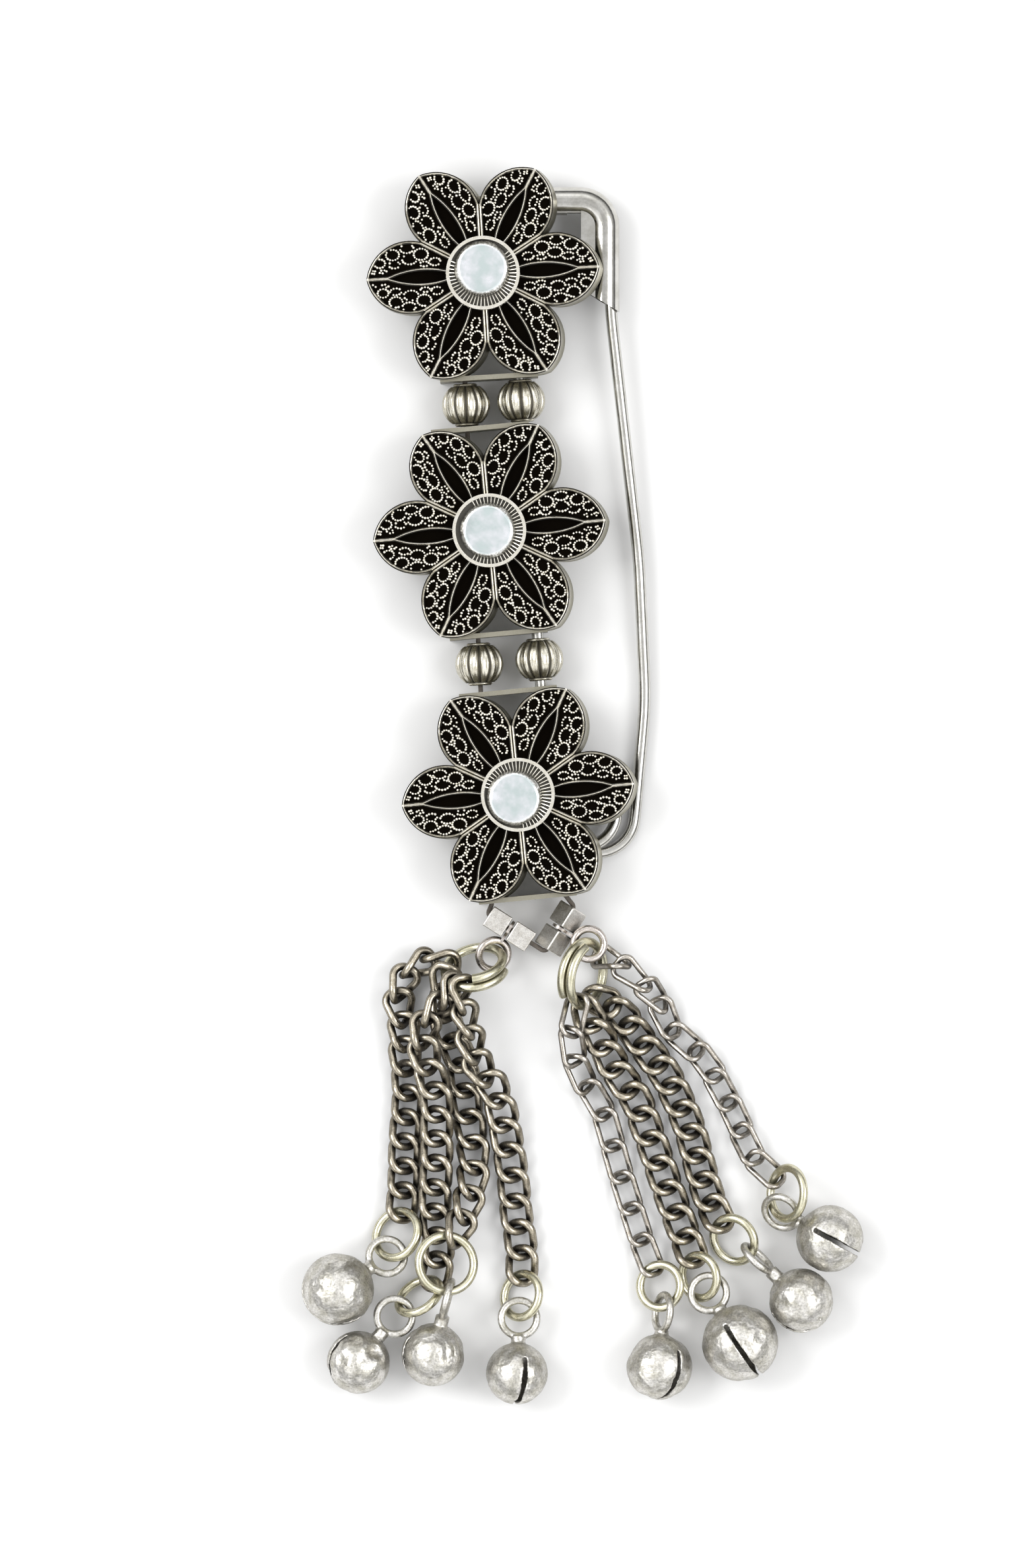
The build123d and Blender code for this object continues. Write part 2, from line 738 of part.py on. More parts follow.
# Drop rings and bells
def heading(turn, rise):
    """Direction from its turn in plan and its rise."""
    level = cos(radians(rise))
    return Vector(level * cos(radians(turn)), level * sin(radians(turn)), sin(radians(rise)))


def make_drop_ring(name, chain, radius, turn, rise, tilt):
    """A closed ring through the last link of a chain."""
    along = heading(turn, rise)
    centre = Vector(*chain_routes[chain][-1]) + along * radius
    with BuildPart() as drop_ring:
        with Locations(frame(centre, along, -tilt)):
            Torus(radius, drop_wire)
    finish(drop_ring.part, name)


def make_bell(name, x, y, radius, neck, turn, rise, tilt, slit_tilt):
    """A hollow slit ball that rests on the floor, with its loop soldered on."""
    along = heading(turn, rise)
    centre = Vector(x, y, radius)
    loop_centre = centre + along * (radius + neck + loop_radius)
    slit_plane = frame(centre, along, slit_tilt)
    with BuildPart() as bell:
        with Locations(slit_plane):
            Sphere(radius, rotation=(0, 0, seam_turn))
        with BuildSketch(Plane(centre, z_dir=along)):
            Circle(lump_radius)
        extrude(amount=radius + neck)
        with Locations(slit_plane):
            Sphere(radius - bell_wall, rotation=(0, 0, seam_turn), mode=Mode.SUBTRACT)
        with BuildSketch(slit_plane):
            with Locations((0, radius * slit_share)):
                Rectangle(radius * 3, radius * 2, align=(Align.CENTER, Align.MAX))
        extrude(amount=bell_slit / 2, both=True, mode=Mode.SUBTRACT)
        with Locations(frame(loop_centre, along, -tilt)):
            Torus(loop_radius, loop_wire)
    finish(bell.part, name)


for drop_row in drop_table:
    make_drop_ring(*drop_row)
for bell_row in bell_table:
    make_bell(*bell_row)
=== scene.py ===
import math
import random

import bpy
import mathutils
import numpy as np
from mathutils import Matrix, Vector


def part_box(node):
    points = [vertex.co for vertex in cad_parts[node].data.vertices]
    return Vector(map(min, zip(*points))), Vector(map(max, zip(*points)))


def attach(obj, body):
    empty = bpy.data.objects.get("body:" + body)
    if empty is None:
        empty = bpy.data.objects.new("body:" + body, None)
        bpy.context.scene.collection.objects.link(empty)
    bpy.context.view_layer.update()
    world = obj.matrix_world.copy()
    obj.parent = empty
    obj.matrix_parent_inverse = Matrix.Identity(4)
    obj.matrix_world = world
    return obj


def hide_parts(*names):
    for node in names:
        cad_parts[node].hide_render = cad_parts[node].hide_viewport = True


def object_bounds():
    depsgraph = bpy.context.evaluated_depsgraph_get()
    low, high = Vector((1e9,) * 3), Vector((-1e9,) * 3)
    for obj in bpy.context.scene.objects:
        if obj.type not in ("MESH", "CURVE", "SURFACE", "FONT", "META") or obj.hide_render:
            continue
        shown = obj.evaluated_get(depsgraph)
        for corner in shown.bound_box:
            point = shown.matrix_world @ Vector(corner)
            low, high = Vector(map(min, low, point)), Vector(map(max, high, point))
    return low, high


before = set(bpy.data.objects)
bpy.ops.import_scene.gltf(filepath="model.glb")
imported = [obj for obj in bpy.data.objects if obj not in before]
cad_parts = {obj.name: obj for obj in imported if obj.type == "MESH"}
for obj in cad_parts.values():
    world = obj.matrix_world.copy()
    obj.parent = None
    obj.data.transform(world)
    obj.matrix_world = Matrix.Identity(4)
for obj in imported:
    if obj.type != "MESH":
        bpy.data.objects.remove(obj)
cad_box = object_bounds()

# The saree pin lies on a pale floor and is seen from straight above.
# Lengths below are in millimetres, as in the part's source, and MM turns them into metres.
MM = 0.001
COLUMN = "column"

# Photograph: its size, its scale and the pixel that the part's origin lies on
PHOTO_WIDTH = 1568
PHOTO_HEIGHT = 2375
MM_PER_PIXEL = 0.07
ORIGIN_PIXEL = (882.5, 1191.5)
CAMERA_HEIGHT = 1100.0
LENS_PLANE = 4.0
SENSOR_HEIGHT = 36.0
CLIP_END_METRES = 10.0

# Flowers: node, centre x, centre y, turn, shift of the mirror
FLOWERS = [
    ("flower_1", -10.56, 54.32, 3.4, (-0.1, 0.5)),
    ("flower_2", -9.88, 27.09, 5.2, (-0.15, 0.0)),
    ("flower_3", -6.86, -0.86, 5.5, (-0.38, -0.36)),
]
PETAL_COUNT = 6
PETAL_LENGTH = 12.35
PETAL_START = 3.3
PETAL_TOP = 6.6
PETAL_UNDERSIDE = 4.35
OUTLINE_BASE = (2.47, 1.5)
OUTLINE_SHOULDER = (6.175, 3.619)
OUTLINE_BULGE = (10.127, 3.225)
RIM_MIDDLE = 0.17
RIM_HALF = 0.145
RIM_FOOT = 0.34
RECESS = 0.6
VEIN_START = 2.6
VEIN_MIDDLE = 6.3
VEIN_END = 10.1
VEIN_HALF_WIDTH = 0.76
VEIN_SEAM = 0.02
RIDGE_MIDDLE = 0.03
RIDGE_HALF = 0.15
RIDGE_DROP = 0.04
VEIN_DEPTH = 1.0
FULLY_WORN = 0.6
BEZEL_RADIUS = 3.9
BEZEL_TOP = 7.4
WALL_LEAN = (0.45, -0.1)
SLOPE_STEP = 0.05
STEEPEST_SLOPE = 3
FLOWER_SHARP_DEGREES = 50
FLOWER_SEED_SCALE = 100

# A petal's mesh: rows crowd towards its tip, and places across it lie close together at its
# ridges, so many millimetres off them, and at its outline, so many millimetres inside it
PETAL_ROWS = 96
ROW_CROWDING = 1.6
VEIN_SHARES = (0, 0.3, 0.55)
NARROW_VEIN_SHARES = (0, 0.1, 0.2)
NARROW_VEIN = 0.3
RIDGE_INNER_OFFSETS = (0.16, 0.12, 0.06)
RIDGE_OUTER_OFFSETS = (0.0, 0.05, 0.1, 0.16, 0.21, 0.28)
RIM_OFFSETS = (0.4, 0.34, 0.3, 0.25, 0.17, 0.09, 0.04, 0.0)
NARROW_PETAL = 0.8
MIDDLE_STEPS = 13

# A petal's side wall: height, share of the lean, wear
WALL_LEVELS = [
    (PETAL_TOP - 0.5, 0.0, 0.9),
    (5.4, 0.5, 0.8),
    (PETAL_UNDERSIDE, 1.0, 0.6),
]

# Wear of the CAD flower's own faces: the bezel's edge, the walls and the inside of the cup
EDGE_WEAR = 1.0
WALL_WEAR = 0.55
CUP_WEAR = 0.15
CUP_MARGIN = 0.2

# Granule rings in one half of a petal: along the petal, off its middle, and their half sizes
GRANULE_RINGS = [
    (4.95, 1.60, 0.60, 0.40),
    (6.35, 2.45, 0.76, 0.60),
    (6.15, 1.35, 0.50, 0.26),
    (7.95, 3.00, 0.72, 0.46),
    (7.75, 1.85, 0.78, 0.52),
    (9.45, 2.50, 0.70, 0.56),
    (9.20, 1.42, 0.60, 0.36),
    (10.75, 1.58, 0.58, 0.46),
    (10.45, 0.78, 0.40, 0.16),
    (11.55, 0.72, 0.24, 0.16),
]
GRANULE_RADIUS = 0.15
GRANULE_STEP = 0.27
GRANULE_APART = 0.22
GRANULE_FEWEST = 6
GRANULE_SIZES = (0.85, 1.2)
GRANULE_LIFT = 0.13
GRANULE_LIFTS = (-0.04, 0.05)
GRANULE_WEAR_RISE = 0.2
RING_SHIFT_ALONG = 0.12
RING_SHIFT_ACROSS = 0.08
CLEAR_OF_RIM = 0.42
CLEAR_OF_VEIN = 0.3
CLEAR_OF_BEZEL = 0.1

# Milled bars in the bezel: each end's radius and height, and places across a bar, in half
# widths, with their heights
BAR_COUNT = 54
BAR_SPREAD_DEGREES = 125
BAR_HALF_WIDTH = 0.065
BAR_ENDS = ((2.5, 6.75), (3.55, 7.25))
BAR_PROFILE = ((-1.3, -0.12), (-0.6, 0), (0.6, 0), (1.3, -0.12))

# Mirrors: radius and height of each ring of points, of which the first four are the worn bevel
MIRROR_RINGS = [
    (2.9, 6.62), (2.93, 7.0), (2.9, 7.1), (2.62, 7.3), (2.45, 7.37), (2.3, 7.39), (1.2, 7.4)
]
BEVEL_RINGS = 4
MIRROR_COLUMNS = 96
MIRROR_WAVE = 0.012
MIRROR_WAVES = 3
MIRROR_WAVE_RADIUS = 2.7
MIRROR_SHARP_DEGREES = 40

# Melon beads: node and the line that carries it
RAIL_LINE = ((-7.87, 60.5), (-3.42, -3.1))
THREAD_LINE = ((-12.58, 44.8), (-9.63, -12.5))
MELONS = [
    ("melon_bead_1", THREAD_LINE),
    ("melon_bead_2", RAIL_LINE),
    ("melon_bead_3", THREAD_LINE),
    ("melon_bead_4", RAIL_LINE),
]
MELON_RADIUS = 2.62
MELON_WAIST = 0.62
MELON_LENGTH = 3.9
COLLAR_RADIUS = 1.3
COLLAR_LIP = 1.12
COLLAR_NECK = 1.2
COLLAR_BORE = 0.8
COLLAR_LENGTH = 0.3
RIB_COUNT = 12
RIB_COLUMNS = 14
MELON_ROWS = 32
# The grooves between the ribs: their depth and half width, how far the ribs fall away towards
# them, and how far and wide the wear is gone in them
GROOVE_DEPTH = 0.42
GROOVE_HALF_WIDTH = 0.2
RIB_FALL = 0.1
GROOVE_SHADE = 0.95
SHADE_HALF_WIDTH = 0.17
BORE_WEAR = 0.8
NECK_WEAR = 0.3

# Bells: number, centre x, centre y, radius of the ball, which rests on the floor
BELLS = [
    (1, -25.95, -53.31, 3.85),
    (2, -23.78, -61.08, 3.36),
    (3, -15.85, -60.26, 3.36),
    (4, -6.96, -62.26, 3.29),
    (5, 8.16, -61.55, 3.5),
    (6, 16.7, -58.98, 4.06),
    (7, 23.2, -54.51, 3.43),
    (8, 26.23, -47.94, 3.57),
]
# The grain of their mesh, how wide and deep their dents and pits are, the step in the noise from
# one bell to the next, and how far out the dents go, in radii, so that the loops keep their shape
BELL_VOXEL = 0.125
BELL_SMOOTHING = 0.5
BELL_SMOOTH_ROUNDS = 2
DENT_REACH = 1.03
DENT_SIZE = 1.7
DENT_DEPTH = 0.3
DENT_START = 0.05
DENT_STEP = (7.3, -3.1, 5.7)
PIT_SIZE = 0.45
PIT_DEPTH = 0.05
# A pit goes into the upper side alone, above this share of the bell's height
PIT_LEVEL = 0.55
# Single holes and pits: bell, x, y, reach, depth
PITS = [
    (2, -22.15, -59.75, 0.55, 0.9),
    (2, -22.9, -60.4, 0.8, 0.3),
    (7, 25.09, -56.28, 0.2, 0.35),
]


# Mesh helpers
def make_mesh(name, points, faces, wear=None, smooth=True):
    """A mesh object from points in millimetres, with a wear value for each point."""
    mesh = bpy.data.meshes.new(name)
    mesh.from_pydata([tuple(p) for p in np.asarray(points) * MM], [], faces)
    if wear is not None:
        layer = mesh.attributes.new("wear", "FLOAT", "POINT")
        layer.data.foreach_set("value", np.asarray(wear, dtype=np.float32))
    if smooth:
        mesh.polygons.foreach_set("use_smooth", [True] * len(mesh.polygons))
    piece = bpy.data.objects.new(name, mesh)
    bpy.context.collection.objects.link(piece)
    return piece


def join_parts(parts):
    """Points, faces and wear of several parts in one list each."""
    points, faces, wear = [], [], []
    for part_points, part_faces, part_wear in parts:
        start = len(points)
        points.extend([tuple(p) for p in part_points])
        faces.extend([tuple(start + i for i in face) for face in part_faces])
        wear.extend(list(part_wear))
    return points, faces, wear


def grid_faces(rows, columns, wrap=False):
    """Quads of a grid of points, row by row."""
    across = columns if wrap else columns - 1
    faces = []
    for i in range(rows - 1):
        for j in range(across):
            k = (j + 1) % columns
            a = i * columns
            faces.append((a + j, a + k, a + columns + k, a + columns + j))
    return faces


def small_ball():
    """A ball of 18 points and 32 faces."""
    corners = [(1, 0, 0), (-1, 0, 0), (0, 1, 0), (0, -1, 0), (0, 0, 1), (0, 0, -1)]
    points = [Vector(c) for c in corners]
    middles = {}

    def middle(a, b):
        key = (min(a, b), max(a, b))
        if key not in middles:
            points.append(((points[a] + points[b]) / 2).normalized())
            middles[key] = len(points) - 1
        return middles[key]

    faces = []
    for a in (0, 1):
        for b in (2, 3):
            for c in (4, 5):
                ab, bc, ca = middle(a, b), middle(b, c), middle(c, a)
                for face in ((a, ab, ca), (ab, b, bc), (ca, bc, c), (ab, bc, ca)):
                    p, q, r = (points[i] for i in face)
                    out = (q - p).cross(r - p).dot(p + q + r) > 0
                    faces.append(face if out else face[::-1])
    return np.array([tuple(p) for p in points]), faces


BALL_POINTS, BALL_FACES = small_ball()


def ramp(value, low, high):
    """Smooth step from 0 at low to 1 at high."""
    t = np.clip((value - low) / (high - low), 0, 1)
    return t * t * (3 - 2 * t)


# Petals
def circle_through(a, b, c):
    """Centre and radius of the circle through three points."""
    rows = np.array([[b[0] - a[0], b[1] - a[1]], [c[0] - a[0], c[1] - a[1]]])
    sums = np.array([b[0] ** 2 + b[1] ** 2, c[0] ** 2 + c[1] ** 2]) - a[0] ** 2 - a[1] ** 2
    x, y = np.linalg.solve(2 * rows, sums)
    return x, y, math.hypot(a[0] - x, a[1] - y)


OUTER_ARC = circle_through(OUTLINE_SHOULDER, OUTLINE_BULGE, (PETAL_LENGTH, 0))
VEIN_ARC = circle_through((VEIN_START, 0), (VEIN_MIDDLE, VEIN_HALF_WIDTH), (VEIN_END, 0))


def half_width(r):
    """Half width of a petal at distances from the flower's centre."""
    slope = (OUTLINE_SHOULDER[1] - OUTLINE_BASE[1]) / (OUTLINE_SHOULDER[0] - OUTLINE_BASE[0])
    straight = OUTLINE_BASE[1] + slope * (r - OUTLINE_BASE[0])
    x, y, radius = OUTER_ARC
    arc = y + np.sqrt(np.maximum(0, radius ** 2 - (r - x) ** 2))
    width = np.where(r < OUTLINE_SHOULDER[0], straight, arc)
    return np.minimum(np.maximum(width, 0), r * math.tan(math.pi / PETAL_COUNT))


def vein_width(r):
    """Half width of the sunken vein at distances from the flower's centre."""
    x, y, radius = VEIN_ARC
    arc = y + np.sqrt(np.maximum(0, radius ** 2 - (r - x) ** 2))
    return np.where(r < VEIN_END, np.maximum(arc, VEIN_SEAM), VEIN_SEAM)


def edge_distance(r, v):
    """Rough distance from a point of a petal to its outline."""
    width = half_width(r)
    slope = (half_width(r + SLOPE_STEP) - half_width(r - SLOPE_STEP)) / (2 * SLOPE_STEP)
    return (width - np.abs(v)) / np.sqrt(1 + np.minimum(slope, STEEPEST_SLOPE) ** 2)


def round_ridge(distance, middle, half):
    """Height of a round-topped ridge, from 0 at its sides to 1 at its top."""
    return np.sqrt(np.clip(1 - ((distance - middle) / half) ** 2, 0, 1))


def petal_relief(r, v):
    """Height below the rim, and wear, over a petal."""
    edge = edge_distance(r, v)
    vein = np.abs(v) - vein_width(r)
    low = np.where(vein < 0, -VEIN_DEPTH, -RECESS)
    low = np.where(edge < RIM_MIDDLE, -RIM_FOOT, low)
    rim = round_ridge(edge, RIM_MIDDLE, RIM_HALF)
    ridge = round_ridge(vein, RIDGE_MIDDLE, RIDGE_HALF)
    height = np.maximum(low * (1 - rim), low * (1 - ridge) - RIDGE_DROP)
    return height, ramp(np.maximum(rim, ridge), 0, FULLY_WORN)


def petal_columns(r):
    """Places across a petal at distance r, close together on its ridges and its rim."""
    width = float(half_width(np.array(r)))
    vein = float(vein_width(np.array(r)))
    squeeze = min(1.0, (width - vein) / NARROW_PETAL)
    tight = min(1.0, vein / NARROW_VEIN)
    shares = VEIN_SHARES if vein > NARROW_VEIN else NARROW_VEIN_SHARES
    inner = [vein * share for share in shares]
    ridge = [vein - off * tight for off in RIDGE_INNER_OFFSETS]
    ridge += [vein + off * squeeze for off in RIDGE_OUTER_OFFSETS]
    rim = [width - off * squeeze for off in RIM_OFFSETS]
    gap = rim[0] - ridge[-1]
    middle = [ridge[-1] + gap * k / MIDDLE_STEPS for k in range(1, MIDDLE_STEPS)]
    half = inner + ridge + middle + rim
    return [-v for v in half[:0:-1]] + half


def petal_part(turn, x, y):
    """The relief of one petal with its outer side wall."""
    rows = PETAL_ROWS
    reach = PETAL_LENGTH - PETAL_START
    shares = [1 - (1 - i / (rows - 1)) ** ROW_CROWDING for i in range(rows)]
    places = [PETAL_START + reach * share for share in shares]
    vv = np.array([petal_columns(r) for r in places])
    columns = vv.shape[1]
    rr = np.repeat(np.array(places)[:, None], columns, axis=1)
    height, wear = petal_relief(rr, vv)
    side_points = [np.stack([rr, vv, PETAL_TOP + height], axis=-1).reshape(-1, 3)]
    side_wear = [wear.reshape(-1)]
    faces = grid_faces(rows, columns)
    rim = [i * columns for i in range(rows)] + [i * columns + columns - 1 for i in range(rows)][::-1]
    start = rows * columns
    top = side_points[0][rim]
    back = turn_rows(turn)
    local_lean = back @ np.array([WALL_LEAN[0], WALL_LEAN[1], 0])
    count = len(rim)
    previous = rim
    for z, share, value in WALL_LEVELS:
        ring = top.copy()
        ring[:, 2] = z
        ring = ring + local_lean * share
        side_points.append(ring)
        side_wear.append(np.full(count, value))
        current = [start + i for i in range(count)]
        for i in range(count - 1):
            faces.append((previous[i + 1], previous[i], current[i], current[i + 1]))
        previous = current
        start += count
    points = np.concatenate(side_points) @ back + np.array([x, y, 0])
    return points, faces, np.concatenate(side_wear)


def turn_rows(turn):
    """A turn about the vertical, for points written as rows."""
    c, s = math.cos(turn), math.sin(turn)
    return np.array([[c, s, 0], [-s, c, 0], [0, 0, 1]])


def granule_part(turn, x, y, rng):
    """Strings of small balls round dark ovals in both halves of a petal."""
    placed = []
    for sign in (-1, 1):
        for along, across, long_half, cross_half in GRANULE_RINGS:
            along += rng.uniform(-RING_SHIFT_ALONG, RING_SHIFT_ALONG)
            across += rng.uniform(-RING_SHIFT_ACROSS, RING_SHIFT_ACROSS)
            lap = math.pi * (long_half + cross_half)
            count = max(GRANULE_FEWEST, round(lap / GRANULE_STEP))
            phase = rng.uniform(0, math.pi)
            for i in range(count):
                angle = phase + 2 * math.pi * i / count
                r = along + long_half * math.cos(angle)
                v = sign * (across + cross_half * math.sin(angle))
                edge = float(edge_distance(np.array(r), np.array(v)))
                vein = abs(v) - float(vein_width(np.array(r)))
                if edge < CLEAR_OF_RIM or vein < CLEAR_OF_VEIN:
                    continue
                if r < BEZEL_RADIUS + CLEAR_OF_BEZEL:
                    continue
                if any(math.hypot(r - a, v - b) < GRANULE_APART for a, b in placed):
                    continue
                placed.append((r, v))
    points, faces = [], []
    bottom = PETAL_TOP - RECESS
    for r, v in placed:
        size = GRANULE_RADIUS * rng.uniform(*GRANULE_SIZES)
        centre = (r, v, bottom + GRANULE_LIFT + rng.uniform(*GRANULE_LIFTS))
        start = len(points)
        points.extend(BALL_POINTS * size + np.array(centre))
        faces.extend([tuple(start + i for i in face) for face in BALL_FACES])
    points = np.array(points)
    wear = ramp(points[:, 2], bottom, bottom + GRANULE_WEAR_RISE)
    return points @ turn_rows(turn) + np.array([x, y, 0]), faces, wear


def milled_part(x, y, shift):
    """Short radial bars inside the bezel, on the side that the mirror leaves open."""
    facing = math.atan2(-shift[1], -shift[0])
    across = len(BAR_PROFILE)
    points, faces = [], []
    for i in range(BAR_COUNT):
        angle = 2 * math.pi * i / BAR_COUNT
        off = abs((angle - facing + math.pi) % (2 * math.pi) - math.pi)
        if off > math.radians(BAR_SPREAD_DEGREES):
            continue
        out = np.array([math.cos(angle), math.sin(angle), 0])
        side = np.array([-math.sin(angle), math.cos(angle), 0]) * BAR_HALF_WIDTH
        start = len(points)
        for r, z in BAR_ENDS:
            middle = np.array([x, y, 0]) + out * r
            for s, drop in BAR_PROFILE:
                points.append(middle + side * s + np.array([0, 0, z + drop]))
        for a in range(start, start + across - 1):
            faces.append((a, a + 1, a + 1 + across, a + across))
    return points, faces, [EDGE_WEAR] * len(points)


def cad_base_part(node, x, y):
    """The CAD flower's own walls, underside and cup, without its plain petal tops."""
    top_reach = BEZEL_RADIUS + 0.05
    top_level = PETAL_TOP - VEIN_DEPTH - 0.1
    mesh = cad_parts[node].data
    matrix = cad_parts[node].matrix_world
    points = np.array([tuple(matrix @ v.co) for v in mesh.vertices]) / MM
    used, faces = {}, []
    for polygon in mesh.polygons:
        corners = points[list(polygon.vertices)]
        middle = corners.mean(axis=0)
        far = math.hypot(middle[0] - x, middle[1] - y) > top_reach
        if far and corners[:, 2].min() > top_level:
            continue
        faces.append([used.setdefault(i, len(used)) for i in polygon.vertices])
    kept = points[list(used)]
    wear = np.where(kept[:, 2] > BEZEL_TOP, EDGE_WEAR, WALL_WEAR)
    inside = np.hypot(kept[:, 0] - x, kept[:, 1] - y) < BEZEL_RADIUS - CUP_MARGIN
    wear[inside & (kept[:, 2] < BEZEL_TOP)] = CUP_WEAR
    return kept, faces, wear


def make_flower(node, x, y, turn, shift):
    rng = random.Random(int(abs(y) * FLOWER_SEED_SCALE))
    parts = [cad_base_part(node, x, y), milled_part(x, y, shift)]
    for k in range(PETAL_COUNT):
        angle = math.radians(turn) + 2 * math.pi * k / PETAL_COUNT
        parts.append(petal_part(angle, x, y))
        parts.append(granule_part(angle, x, y, rng))
    points, faces, wear = join_parts(parts)
    piece = make_mesh(node + "_cast", points, faces, wear)
    mark_sharp(piece, FLOWER_SHARP_DEGREES)
    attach(piece, COLUMN)
    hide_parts(node)
    return piece


def make_mirror(number, x, y, shift):
    """A round glass with a worn bevel that wavers a little."""
    node = "mirror_%d" % number
    x, y = x + shift[0], y + shift[1]
    columns = MIRROR_COLUMNS
    points = []
    for r, z in MIRROR_RINGS:
        for j in range(columns):
            angle = 2 * math.pi * j / columns
            swing = math.sin(MIRROR_WAVES * angle + number) * (r < MIRROR_WAVE_RADIUS)
            reach = r * (1 + MIRROR_WAVE * swing)
            points.append((x + reach * math.cos(angle), y + reach * math.sin(angle), z))
    faces = grid_faces(len(MIRROR_RINGS), columns, True)
    faces.append(tuple(range(len(points) - columns, len(points))))
    faces.append(tuple(range(columns))[::-1])
    bevel = BEVEL_RINGS * columns
    wear = [1.0] * bevel + [0.0] * (len(points) - bevel)
    piece = make_mesh(node + "_glass", points, faces, wear)
    mark_sharp(piece, MIRROR_SHARP_DEGREES)
    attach(piece, COLUMN)
    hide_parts(node)
    return piece


def mark_sharp(piece, degrees):
    """Smooth shading that keeps edges sharper than an angle."""
    mesh = piece.data
    mesh.polygons.foreach_set("use_smooth", [True] * len(mesh.polygons))
    mesh.set_sharp_from_angle(angle=math.radians(degrees))


# Melon beads
def make_melon(node, line):
    low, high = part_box(node)
    centre = (Vector(low) + Vector(high)) / 2 / MM
    along = Vector((line[1][0] - line[0][0], line[1][1] - line[0][1], 0)).normalized()
    up = Vector((0, 0, 1))
    side = along.cross(up)
    half = MELON_LENGTH / 2
    x, y, radius = circle_through(
        (-half, MELON_RADIUS * MELON_WAIST), (0, MELON_RADIUS), (half, MELON_RADIUS * MELON_WAIST)
    )
    # Each step: place along the bead, radius, whether it is ribbed, wear
    collar = [
        (half + COLLAR_LENGTH, COLLAR_BORE, 0, BORE_WEAR),
        (half + COLLAR_LENGTH, COLLAR_LIP, 0, 1),
        (half + COLLAR_LENGTH * 0.5, COLLAR_RADIUS, 0, 1),
        (half, COLLAR_NECK, 0, NECK_WEAR),
    ]
    steps = [(-place, reach, ribbed, value) for place, reach, ribbed, value in collar]
    for k in range(MELON_ROWS + 1):
        place = -half + MELON_LENGTH * k / MELON_ROWS
        reach = y + math.sqrt(radius ** 2 - (place - x) ** 2)
        steps.append((place, reach, 1, 1))
    steps += collar[::-1]
    columns = RIB_COUNT * RIB_COLUMNS
    points, wear = [], []
    for place, reach, ribbed, value in steps:
        for j in range(columns):
            angle = 2 * math.pi * j / columns
            off = abs((angle * RIB_COUNT / (2 * math.pi)) % 1 - 0.5) * 2
            gap = (1 - off) * math.pi / RIB_COUNT * reach
            groove = GROOVE_DEPTH * math.exp(-(gap / GROOVE_HALF_WIDTH) ** 2)
            distance = reach - ribbed * (groove + RIB_FALL * (1 - off) ** 2)
            arm = side * math.cos(angle) + up * math.sin(angle)
            points.append(tuple(centre + along * place + arm * distance))
            shade = ribbed * GROOVE_SHADE * math.exp(-(gap / SHADE_HALF_WIDTH) ** 2)
            wear.append(value * (1 - shade))
    piece = make_mesh(node + "_ribbed", points, grid_faces(len(steps), columns, True), wear)
    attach(piece, COLUMN)
    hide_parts(node)
    return piece


# Bells
def make_bell(number, x, y, radius):
    """The CAD bell, beaten: dents that only go inwards; its material paints shade into the hollows,
    so what stands out looks brighter.
    """
    node = "bell_%d" % number
    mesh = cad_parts[node].data.copy()
    piece = bpy.data.objects.new(node + "_beaten", mesh)
    bpy.context.collection.objects.link(piece)
    remesh = piece.modifiers.new("even", "REMESH")
    remesh.mode = "VOXEL"
    remesh.voxel_size = BELL_VOXEL * MM
    smooth = piece.modifiers.new("smooth", "SMOOTH")
    smooth.factor = BELL_SMOOTHING
    smooth.iterations = BELL_SMOOTH_ROUNDS
    graph = bpy.context.evaluated_depsgraph_get()
    mesh = bpy.data.meshes.new_from_object(piece.evaluated_get(graph))
    piece.modifiers.clear()
    piece.data = mesh
    offset = Vector([number * step for step in DENT_STEP])
    count = len(mesh.vertices)
    normals = np.array([tuple(n.vector) for n in mesh.vertex_normals])
    points = np.empty(count * 3, dtype=np.float32)
    mesh.vertices.foreach_get("co", points)
    points = points.reshape(-1, 3)
    dents = np.empty(count)
    centre = Vector((x, y, radius))
    for i in range(count):
        place = Vector(points[i]) / MM
        if (place - centre).length > radius * DENT_REACH:
            dents[i] = 0
            continue
        broad = mathutils.noise.noise(place / DENT_SIZE + offset)
        fine = mathutils.noise.noise(place / PIT_SIZE - offset)
        dents[i] = max(0.0, broad - DENT_START) * DENT_DEPTH + abs(fine) * PIT_DEPTH
    points = points - normals * dents[:, None] * MM
    for bell, pit_x, pit_y, reach, depth in PITS:
        if bell == number:
            away = np.hypot(points[:, 0] / MM - pit_x, points[:, 1] / MM - pit_y) / reach
            upper = points[:, 2] > points[:, 2].max() * PIT_LEVEL
            points[upper, 2] -= (np.exp(-away ** 2) * depth * MM)[upper]
    mesh.vertices.foreach_set("co", points.astype(np.float32).reshape(-1))
    mesh.update()
    mesh.polygons.foreach_set("use_smooth", [True] * len(mesh.polygons))
    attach(piece, COLUMN)
    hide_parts(node)
    return piece


# Materials
# Noises of the metals: how many waves to a grain, detail, roughness
BROAD_NOISE = (1, 3, 0.55)
FINE_NOISE = (5, 5, 0.65)
SCRATCH_NOISE = (1.5, 2, 0.55)
# Other noises: waves to a metre, or to the whole sky, detail, roughness
CLOUD_NOISE = (700, 3, 0.55)
STREAK_NOISE = (4000, 4, 0.7)
FIBRE_NOISE = (6000, 4, 0.55)
PAPER_NOISE = (60, 3, 0.55)
SKY_NOISE = (3.0, 1, 0.55)
# Where a noise starts and ends turning one look into another
BROAD_RANGE = (0.35, 0.65)
SPOT_RANGE = (0.3, 0.6)
PATCH_RANGE = (0.7, 1.3)
STREAK_RANGE = (0.4, 0.6)
CLOUD_RANGE = (0.3, 0.7)
